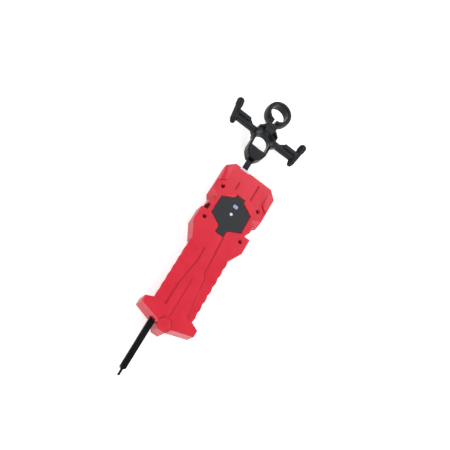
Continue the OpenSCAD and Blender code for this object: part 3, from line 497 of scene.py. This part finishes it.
def round_edges(piece, width, test=None, segments=2):
    """Rounds the sharp edges that have room for it, and marks the new faces as edges."""
    mesh = piece.data
    limit = math.cos(SHARP_ANGLE)
    tight = set()
    for edge in mesh.edges:
        a, b = (mesh.vertices[v].co for v in edge.vertices)
        if (a - b).length < width * ROOM:
            tight.update((spot(a), spot(b)))

    def wanted(a, b, n, m):
        if n.dot(m) > limit or spot(a) in tight or spot(b) in tight:
            return False
        return test is None or test(a, b, n, m)

    count = pick_edges(piece, wanted)
    if "edge" not in mesh.attributes:
        mesh.attributes.new("edge", "FLOAT", "FACE")
    if count:
        open_picked(piece, "EDGE")
        bpy.ops.mesh.bevel(offset=width, segments=segments, profile=0.5, clamp_overlap=True, affect="EDGES")
        leave()
        mark = mesh.attributes["edge"]
        for face in mesh.polygons:
            if face.select:
                mark.data[face.index].value = 1.0


def weigh(piece, angle=SMOOTH_ANGLE):
    """Smooth shading below an angle, which keeps the broad faces flat."""
    only(piece)
    bpy.ops.object.shade_smooth_by_angle(angle=angle)
    hold = piece.modifiers.new("weigh", "WEIGHTED_NORMAL")
    hold.keep_sharp = True
    hold.mode = "FACE_AREA"
    bpy.ops.object.modifier_apply(modifier=hold.name)


def seat(piece, body, slot, *nodes):
    """Gives a piece its finish, its body and the parts that it stands for."""
    piece.data.materials.clear()
    piece.data.materials.append(finish(slot))
    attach(piece, body)
    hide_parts(*nodes)
    return piece


def plain_cast(node, name, body, slot, width):
    """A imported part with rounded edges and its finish."""
    piece = cast_of(node, name)
    round_edges(piece, width)
    weigh(piece)
    return seat(piece, body, slot, node)


FRONT_Z = 19.6 * MM
FRONT_SPARE = 0.02 * MM
RIM_HALF = 17.4 * MM
RIM_NEAR = -23.8 * MM
RIM_FAR = 20.3 * MM

LINE_Z = 17.8 * MM
CHEEK_Z = FRONT_Z - 0.1 * MM
BACK_Z = 4.9 * MM
# Where walls of lines and recesses lie: its four sides, its lowest height, and how much shade is painted on
# the walls
Zone = namedtuple("Zone", "left right near far low dark")
GRIP_LINES = Zone(-16 * MM, 16 * MM, -105.6 * MM, -24 * MM, LINE_Z, 1.0)
CREASE = Zone(-1 * MM, 1 * MM, -126 * MM, -70 * MM, LINE_Z, 1.0)
HEAD_LINES = Zone(-16 * MM, 16 * MM, 22 * MM, 41 * MM, LINE_Z, 1.0)
# The right cheek and the left notch get deeper painted shade than the left cheek and the lines
RIGHT_CHEEK = Zone(19.9 * MM, 27.5 * MM, 19.4 * MM, 46 * MM, CHEEK_Z, 2.0)
LEFT_CHEEK = Zone(-27.5 * MM, -19.9 * MM, 19.4 * MM, 46 * MM, CHEEK_Z, 1.5)
LEFT_NOTCH = Zone(-27 * MM, -20.2 * MM, -10.9 * MM, -3.5 * MM, BACK_Z, 2.0)
LINES = (GRIP_LINES, CREASE, HEAD_LINES, RIGHT_CHEEK, LEFT_CHEEK)

# Inner rib whose end comes through the left flank: its sides, its end, its top and the flank's height there
RIB_LEFT = -15 * MM
RIB_RIGHT = -13 * MM
RIB_END = -105 * MM
RIB_TOP = 18.6 * MM
FLANK_Z = 18.1 * MM
RIB_END_SPARE = 0.1 * MM
RIB_TOP_SPARE = 0.02 * MM


def on_rim(p):
    """Whether a point lies on the rim around the badge."""
    return abs(p.z - FRONT_Z) < FRONT_SPARE and abs(p.x) < RIM_HALF and RIM_NEAR < p.y < RIM_FAR


def within(p, zone):
    """Whether a point lies in a zone."""
    return zone.left < p.x < zone.right and zone.near < p.y < zone.far and p.z > zone.low


def in_lines(p):
    """Whether a point lies where lines are cut in the front face."""
    return any(within(p, zone) for zone in LINES)


def on_rib_end(p):
    """Whether a point is a corner of the rib's end."""
    in_end = RIB_LEFT < p.x < RIB_RIGHT and abs(p.y - RIB_END) < RIB_END_SPARE
    return in_end and abs(p.z - RIB_TOP) < RIB_TOP_SPARE


def paint_recess_shade(piece, zones):
    """Paints shade on the walls of the lines and recesses in the given zones, by marking how dark each wall
    is painted.
    """
    mesh = piece.data
    mark = mesh.attributes.new("line", "FLOAT", "FACE")
    for face in mesh.polygons:
        if abs(face.normal.z) < LEVEL:
            for zone in zones:
                if all(within(mesh.vertices[v].co, zone) for v in face.vertices):
                    mark.data[face.index].value = zone.dark


def part_faces(piece):
    """Keeps the nearly level faces of the front flat, each with its own slope."""
    limit = math.cos(SLOPE_STEP)
    pick_edges(piece, lambda a, b, n, m: min(n.z, m.z) > LEVEL and n.dot(m) < limit)
    open_picked(piece, "EDGE")
    bpy.ops.mesh.mark_sharp()
    leave()


def flush_rib(piece):
    """Sinks the end of the inner rib that comes through the left flank until it is flush."""
    if not pick_points(piece, on_rib_end):
        raise RuntimeError("The rib's end is not where it was")
    open_picked(piece, "VERT")
    bpy.ops.transform.translate(value=(0, 0, FLANK_Z - RIB_TOP))
    merge_points()
    bpy.ops.mesh.dissolve_degenerate(threshold=MERGE)
    bpy.ops.mesh.dissolve_limited(angle_limit=FLAT_ANGLE)
    leave()


class LAUNCHER_OT_casing(bpy.types.Operator):
    """Two shells of the casing, with rounded edges along their outlines and reliefs."""

    bl_idname = "launcher.casing"
    bl_label = "Casing shells"

    def execute(self, context):
        sizes = context.scene.launcher_sizes
        front = cast_of("upper_casing", "front_shell")
        flush_rib(front)
        round_edges(front, sizes.rim_edge, test=lambda a, b, n, m: on_rim(a) and on_rim(b), segments=3)
        round_edges(front, sizes.shell_edge, test=lambda a, b, n, m: not (in_lines(a) and in_lines(b)))
        # Paints shade on the walls of the front's lines, cheeks and left notch
        paint_recess_shade(front, (*LINES, LEFT_NOTCH))
        part_faces(front)
        weigh(front)
        seat(front, "casing", "red_plastic", "upper_casing")
        back = cast_of("lower_casing", "back_shell")
        round_edges(back, sizes.shell_edge)
        # Paints shade on the walls of the back's left notch
        paint_recess_shade(back, (LEFT_NOTCH,))
        weigh(back)
        seat(back, "casing", "red_plastic", "lower_casing")
        return {"FINISHED"}


# Points within this many times the nub's half width belong to its six sides
NUB_REACH = 1.01


def narrow(piece, gap):
    """Draws the six sides of the nub in by a gap, about its upright middle line."""
    corner = max((v.co for v in piece.data.vertices), key=lambda c: c.x).copy()
    pick_points(piece, lambda p: math.hypot(p.x, p.y - corner.y) < corner.x * NUB_REACH)
    share = 1 - gap / corner.x
    open_picked(piece, "VERT")
    bpy.ops.transform.resize(value=(share, share, 1), center_override=(0, corner.y, 0))
    leave()


class LAUNCHER_OT_trim(bpy.types.Operator):
    """Guard nub and the guide at the rip cord's mouth."""

    bl_idname = "launcher.trim"
    bl_label = "Nub and mouth guide"

    def execute(self, context):
        sizes = context.scene.launcher_sizes
        nub = cast_of("guard_nub", "end_nub")
        narrow(nub, sizes.nub_gap)
        round_edges(nub, sizes.shell_edge)
        weigh(nub)
        seat(nub, "casing", "red_plastic", "guard_nub")
        plain_cast("mouth_guide", "cord_mouth", "casing", "white_plastic", sizes.trim_edge)
        return {"FINISHED"}


# Walls further from the plate's middle than this are its outer walls
PLATE_CORE = 14 * MM
CORNER_STEP = 0.01 * MM
SAME_WAY = 0.999


def outer_corners(mesh):
    """The points and the wall normals at each upright corner of the plate's outline."""
    corners = {}
    for face in mesh.polygons:
        if abs(face.normal.z) >= UPRIGHT:
            continue
        for v in face.vertices:
            co = mesh.vertices[v].co
            if math.hypot(co.x, co.y) <= PLATE_CORE:
                continue
            place = (round(co.x / CORNER_STEP), round(co.y / CORNER_STEP))
            points, normals = corners.setdefault(place, (set(), []))
            points.add(v)
            if not any(face.normal.dot(n) > SAME_WAY for n in normals):
                normals.append(face.normal.copy())
    return list(corners.values())


def draw_in(piece, gap):
    """Draws the plate's outer walls in by a gap, corner by corner."""
    mesh = piece.data
    for points, normals in outer_corners(mesh):
        move = sum(normals, Vector()) * -gap
        if len(normals) == 2:
            move /= 1 + normals[0].dot(normals[1])
        unpick(mesh)
        for v in points:
            mesh.vertices[v].select = True
        open_picked(piece, "VERT")
        bpy.ops.transform.translate(value=move)
        leave()


class LAUNCHER_OT_badge(bpy.types.Operator):
    """Six-sided plate with its round cap and its bar."""

    bl_idname = "launcher.badge"
    bl_label = "Badge"

    def execute(self, context):
        sizes = context.scene.launcher_sizes
        plate = cast_of("badge_plate", "plate")
        draw_in(plate, sizes.badge_gap)
        round_edges(plate, sizes.trim_edge)
        weigh(plate)
        seat(plate, "casing", "charcoal_plastic", "badge_plate")
        plain_cast("badge_cap", "round_cap", "casing", "white_plastic", sizes.metal_edge)
        plain_cast("badge_bar", "pale_bar", "casing", "lavender_plastic", sizes.metal_edge)
        return {"FINISHED"}


class LAUNCHER_OT_screws(bpy.types.Operator):
    """Screws of the head and of the grip."""

    bl_idname = "launcher.screws"
    bl_label = "Screws"

    def execute(self, context):
        sizes = context.scene.launcher_sizes
        plain_cast("head_screws", "head_screw_set", "casing", "dark_steel", sizes.metal_edge)
        plain_cast("grip_screws", "grip_screw_set", "casing", "dark_steel", sizes.metal_edge)
        return {"FINISHED"}


class LAUNCHER_OT_works(bpy.types.Operator):
    """Bushes, bow spring, gear, shaft and the small parts inside the casing."""

    bl_idname = "launcher.works"
    bl_label = "Inner works"

    def execute(self, context):
        sizes = context.scene.launcher_sizes
        for node, name, body, slot in (
                ("upper_bush", "front_bush", "casing", "brass"),
                ("lower_bush", "back_bush", "casing", "brass"),
                ("bow_spring", "bowed_strip", "casing", "steel"),
                ("spindle_shaft", "axle", "spindle", "steel"),
                ("drive_gear", "pinion", "spindle", "nylon"),
                ("thrust_washer", "washer", "spindle", "steel"),
                ("shaft_clip", "open_clip", "spindle", "steel")):
            plain_cast(node, name, body, slot, sizes.metal_edge)
        return {"FINISHED"}


def squeeze(piece, node, joint):
    """Reads a spring's height and a joint's travel, and gives the spring a mesh of its own; it is not
    shortened.
    """
    low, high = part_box(node)
    travel = next(j["range_m"][1] for j in frame["joints"] if j["name"] == joint)
    1 - travel / (high[2] - low[2])
    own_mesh(piece)


class LAUNCHER_OT_rotor(bpy.types.Operator):
    """Rotor with two hooked prongs, and the sprung plunger in its middle."""

    bl_idname = "launcher.rotor"
    bl_label = "Rotor and plunger"

    def execute(self, context):
        sizes = context.scene.launcher_sizes
        plain_cast("prong_rotor", "rotor", "spindle", "black_plastic", sizes.metal_edge)
        plain_cast("keeper_ring", "keeper", "spindle", "steel", sizes.metal_edge)
        plain_cast("plunger", "push_pin", "plunger_pin", "white_plastic", sizes.trim_edge)
        coil = cast_of("plunger_spring", "coil")
        weigh(coil, COIL_ANGLE)
        seat(coil, "spindle", "steel", "plunger_spring")
        squeeze(coil, "plunger_spring", "plunger_slide")
        return {"FINISHED"}


# Edges of the rip cord longer than this run along it, and shorter ones are on its teeth
LONG_EDGE = 4 * MM


class LAUNCHER_OT_cord(bpy.types.Operator):
    """Toothed rip cord with rounded long edges."""

    bl_idname = "launcher.cord"
    bl_label = "Rip cord"

    def execute(self, context):
        sizes = context.scene.launcher_sizes
        piece = cast_of("rip_cord", "toothed_cord")
        round_edges(piece, sizes.cord_edge, test=lambda a, b, n, m: (a - b).length > LONG_EDGE)
        weigh(piece)
        seat(piece, "pull_handle", "black_plastic", "rip_cord")
        return {"FINISHED"}


# Middle of the arch that ends the finger window, on the handle's upper face, and half the window's width
WINDOW_ARCH = Vector((-10 * MM, 84.9 * MM, 17.3 * MM))
WINDOW_HALF = 7.6 * MM
DISH_OVERRUN = 0.5 * MM


def dish_window(piece, width, depth):
    """Cuts the wide dished rim over the arch of the finger window, which runs out along its sides."""
    wide = WINDOW_HALF + width * (1 + DISH_OVERRUN / depth)
    bpy.ops.object.select_all(action="DESELECT")
    bpy.ops.mesh.primitive_cone_add(
        vertices=96, radius1=WINDOW_HALF, radius2=wide, depth=depth + DISH_OVERRUN,
        location=WINDOW_ARCH + Vector((0, 0, (DISH_OVERRUN - depth) / 2)))
    cutter = bpy.context.active_object
    cut = piece.modifiers.new("dish", "BOOLEAN")
    cut.operation = "DIFFERENCE"
    cut.object = cutter
    only(piece)
    bpy.ops.object.modifier_apply(modifier=cut.name)
    only(cutter)
    bpy.ops.object.delete()


def soften(piece, grain, passes):
    """Rebuilds a piece in small even cells and smooths its corners."""
    only(piece)
    cells = piece.modifiers.new("cells", "REMESH")
    cells.mode = "VOXEL"
    cells.voxel_size = grain
    bpy.ops.object.modifier_apply(modifier=cells.name)
    ease = piece.modifiers.new("ease", "SMOOTH")
    ease.factor = 0.5
    ease.iterations = passes
    bpy.ops.object.modifier_apply(modifier=ease.name)
    bpy.ops.object.shade_smooth()


class LAUNCHER_OT_handle(bpy.types.Operator):
    """Handle with its finger window, arms and cross bars, softened all over."""

    bl_idname = "launcher.handle"
    bl_label = "Handle"

    def execute(self, context):
        sizes = context.scene.launcher_sizes
        piece = cast_of("handle_frame", "cross_handle")
        dish_window(piece, sizes.dish_width, sizes.dish_depth)
        soften(piece, sizes.grain, sizes.soften)
        seat(piece, "pull_handle", "black_plastic", "handle_frame")
        plain_cast("handle_pins", "cord_pins", "pull_handle", "steel", sizes.metal_edge)
        return {"FINISHED"}


# Radius of the pull ring's hole and the middle of its height, half its slot, and the bumps' height
RING_HOLE = 9.0 * MM
RING_Z = 12.3 * MM
SLOT_HALF = 2.3 * MM
BUMP_TALL = 7.0 * MM


def add_bumps(piece, radius):
    """Joins an upright round bump to the ring on each side of its slot, where the slot meets the hole."""
    points = [v.co for v in piece.data.vertices]
    left = min(p.x for p in points)
    right = max(p.x for p in points)
    middle = Vector(((left + right) / 2, max(p.y for p in points) - (right - left) / 2, RING_Z))
    drop = math.sqrt(RING_HOLE ** 2 - SLOT_HALF ** 2)
    bumps = []
    for side in (-SLOT_HALF, SLOT_HALF):
        bpy.ops.object.select_all(action="DESELECT")
        bpy.ops.mesh.primitive_cylinder_add(
            vertices=32, radius=radius, depth=BUMP_TALL, location=middle + Vector((side, -drop, 0)))
        bumps.append(bpy.context.active_object)
    only(piece)
    for bump in bumps:
        bump.select_set(True)
    bpy.ops.object.join()


class LAUNCHER_OT_ring(bpy.types.Operator):
    """Pull ring with its stem, softened all over, and its pin."""

    bl_idname = "launcher.ring"
    bl_label = "Pull ring"

    def execute(self, context):
        sizes = context.scene.launcher_sizes
        piece = cast_of("pull_ring", "finger_ring")
        add_bumps(piece, sizes.slot_bump)
        soften(piece, sizes.grain, sizes.soften)
        seat(piece, "pull_handle", "black_plastic", "pull_ring")
        plain_cast("ring_pin", "stem_pin", "pull_handle", "steel", sizes.metal_edge)
        return {"FINISHED"}


FLOOR_SIDE = 6.0
FLOOR_GAP = 0.05 * MM
FLOOR_TONES = ((0.86, 0.86, 0.86, 1), (0.88, 0.88, 0.88, 1))
# Light that the floor adds where the camera sees it, and where glossy faces mirror it
FLOOR_GLOW = 0.55
FLOOR_GLEAM = 0.2

# Each lamp's place, the spot it points at, and the length of its side
LAMPS = {
    "key": ((0.95, 0.20, 0.85), (0.0, -0.02, 0.0), 0.7),
    "fill": ((-0.45, -1.10, 0.62), (0.0, -0.02, 0.0), 0.8),
    "back": ((0.34, 0.90, 0.88), (0.0, 0.06, 0.0), 0.7),
    "side": ((-0.74, 0.40, 0.72), (0.0, 0.08, 0.0), 0.45),
    "right": ((0.92, -0.59, 0.50), (0.02, 0.0, 0.0), 0.35),
    "top": ((0.20, -0.45, 1.10), (0.0, 0.08, 0.0), 0.4),
}

# Spot that the camera looks at, how far away it stands, the nearest it sees, and its sensor in millimetres
CAMERA_AIM = Vector((3.945 * MM, -2.515 * MM, 0))
CAMERA_AWAY = 732.29 * MM
CAMERA_NEAR = 10 * MM
SENSOR = 36.0


def pale_floor():
    """White floor that keeps soft shadows, shows white to the camera and is clear from below."""
    f = Finish("pale_floor", Roughness=0.9)
    f.feed(f.shader.inputs["Base Color"], f.mix(f.noise(size=4 * MM, detail=2.0), *FLOOR_TONES))
    eye = f.add("ShaderNodeLightPath", {}, {}, "Is Camera Ray")
    shine = f.add("ShaderNodeLightPath", {}, {}, "Is Glossy Ray")
    glow = f.add("ShaderNodeEmission", {}, {"Strength": eye * FLOOR_GLOW + shine * FLOOR_GLEAM}, "Emission")
    both = f.add("ShaderNodeAddShader", {}, {0: Wire(f, f.shader.outputs["BSDF"]), 1: glow}, "Shader")
    below = f.add("ShaderNodeNewGeometry", {}, {}, "Backfacing")
    clear = f.add("ShaderNodeBsdfTransparent", {}, {}, "BSDF")
    sided = f.add("ShaderNodeMixShader", {}, {0: below, 1: both, 2: clear}, "Shader")
    f.feed(f.tree.nodes["Material Output"].inputs["Surface"], sided)
    return f.material


def lay_floor():
    """Floor just under the lowest point of the launcher."""
    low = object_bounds()[0]
    bpy.ops.object.select_all(action="DESELECT")
    bpy.ops.mesh.primitive_plane_add(size=FLOOR_SIDE, location=(0, 0, low[2] - FLOOR_GAP))
    floor = bpy.context.active_object
    floor.name = "floor"
    floor.data.materials.append(pale_floor())
    floor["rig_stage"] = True


def hang_lamp(name, place, aim, side, power):
    """Square soft lamp that points at a spot."""
    data = bpy.data.lights.new(name, "AREA")
    data.size = side
    data.energy = power
    lamp = bpy.data.objects.new(name, data)
    bpy.context.scene.collection.objects.link(lamp)
    lamp.location = place
    lamp.rotation_euler = (Vector(aim) - Vector(place)).to_track_quat("-Z", "Y").to_euler()


def light_sky(strength):
    """Even light from all around, which the camera sees as white."""
    world = bpy.data.worlds.new("sky")
    bpy.context.scene.world = world
    world.use_nodes = True
    tree = world.node_tree
    back = tree.nodes["Background"]
    back.inputs["Color"].default_value = PLAIN
    path = tree.nodes.new("ShaderNodeLightPath")
    seen = tree.nodes.new("ShaderNodeMath")
    seen.operation = "MAXIMUM"
    tree.links.new(path.outputs["Is Camera Ray"], seen.inputs[0])
    tree.links.new(path.outputs["Is Transmission Ray"], seen.inputs[1])
    level = tree.nodes.new("ShaderNodeMapRange")
    level.inputs["To Min"].default_value = strength
    level.inputs["To Max"].default_value = 1.0
    tree.links.new(seen.outputs[0], level.inputs["Value"])
    tree.links.new(level.outputs[0], back.inputs["Strength"])


def stand_camera(setup):
    """Camera that looks down on the launcher at the set angles."""
    data = bpy.data.cameras.new("camera")
    data.sensor_width = SENSOR
    data.lens = setup.lens
    data.clip_start = CAMERA_NEAR
    camera = bpy.data.objects.new("camera", data)
    bpy.context.scene.collection.objects.link(camera)
    turn = Matrix.Rotation(-setup.camera_turn, 4, "Z")
    tilt = Matrix.Rotation(math.pi / 2 - setup.camera_height, 4, "X")
    roll = Matrix.Rotation(setup.camera_roll, 4, "Z")
    away = Matrix.Translation((0, 0, CAMERA_AWAY))
    camera.matrix_world = Matrix.Translation(CAMERA_AIM) @ turn @ tilt @ away @ roll
    bpy.context.scene.camera = camera


class LAUNCHER_OT_stage(bpy.types.Operator):
    """Pale floor, soft lamps and the camera."""

    bl_idname = "launcher.stage"
    bl_label = "Stage"

    def execute(self, context):
        setup = context.scene.launcher_stage
        lay_floor()
        for name, (place, aim, side) in LAMPS.items():
            hang_lamp(name, place, aim, side, getattr(setup, f"{name}_power"))
        light_sky(setup.sky)
        stand_camera(setup)
        context.scene.view_settings.view_transform = "Standard"
        return {"FINISHED"}


OPERATORS = (
    LAUNCHER_OT_casing, LAUNCHER_OT_trim, LAUNCHER_OT_badge, LAUNCHER_OT_screws, LAUNCHER_OT_works,
    LAUNCHER_OT_rotor, LAUNCHER_OT_cord, LAUNCHER_OT_handle, LAUNCHER_OT_ring, LAUNCHER_OT_stage)


class LAUNCHER_PT_sidebar(bpy.types.Panel):
    """Lists the steps that build the launcher."""

    bl_idname = "LAUNCHER_PT_sidebar"
    bl_label = "Spinning Top Launcher"
    bl_space_type = "VIEW_3D"
    bl_region_type = "UI"
    bl_category = "Launcher"

    def draw(self, context):
        for step in OPERATORS:
            self.layout.operator(step.bl_idname)
        for group in ("launcher_sizes", "launcher_colors", "launcher_stage"):
            values = getattr(context.scene, group)
            for key in type(values).__annotations__:
                self.layout.prop(values, key)


GROUPS = (LauncherSizes, LauncherColors, LauncherStage)


def register():
    """Adds the classes and the scene's settings."""
    for cls in (*GROUPS, *OPERATORS, LAUNCHER_PT_sidebar):
        bpy.utils.register_class(cls)
    bpy.types.Scene.launcher_sizes = PointerProperty(type=LauncherSizes)
    bpy.types.Scene.launcher_colors = PointerProperty(type=LauncherColors)
    bpy.types.Scene.launcher_stage = PointerProperty(type=LauncherStage)


def unregister():
    """Takes the settings and the classes out again."""
    del bpy.types.Scene.launcher_stage
    del bpy.types.Scene.launcher_colors
    del bpy.types.Scene.launcher_sizes
    for cls in reversed((*GROUPS, *OPERATORS, LAUNCHER_PT_sidebar)):
        bpy.utils.unregister_class(cls)


def main():
    """Builds every piece and the stage."""
    register()
    bpy.ops.launcher.casing()
    bpy.ops.launcher.trim()
    bpy.ops.launcher.badge()
    bpy.ops.launcher.screws()
    bpy.ops.launcher.works()
    bpy.ops.launcher.rotor()
    bpy.ops.launcher.cord()
    bpy.ops.launcher.handle()
    bpy.ops.launcher.ring()
    bpy.ops.launcher.stage()


if __name__ == "__main__":
    main()
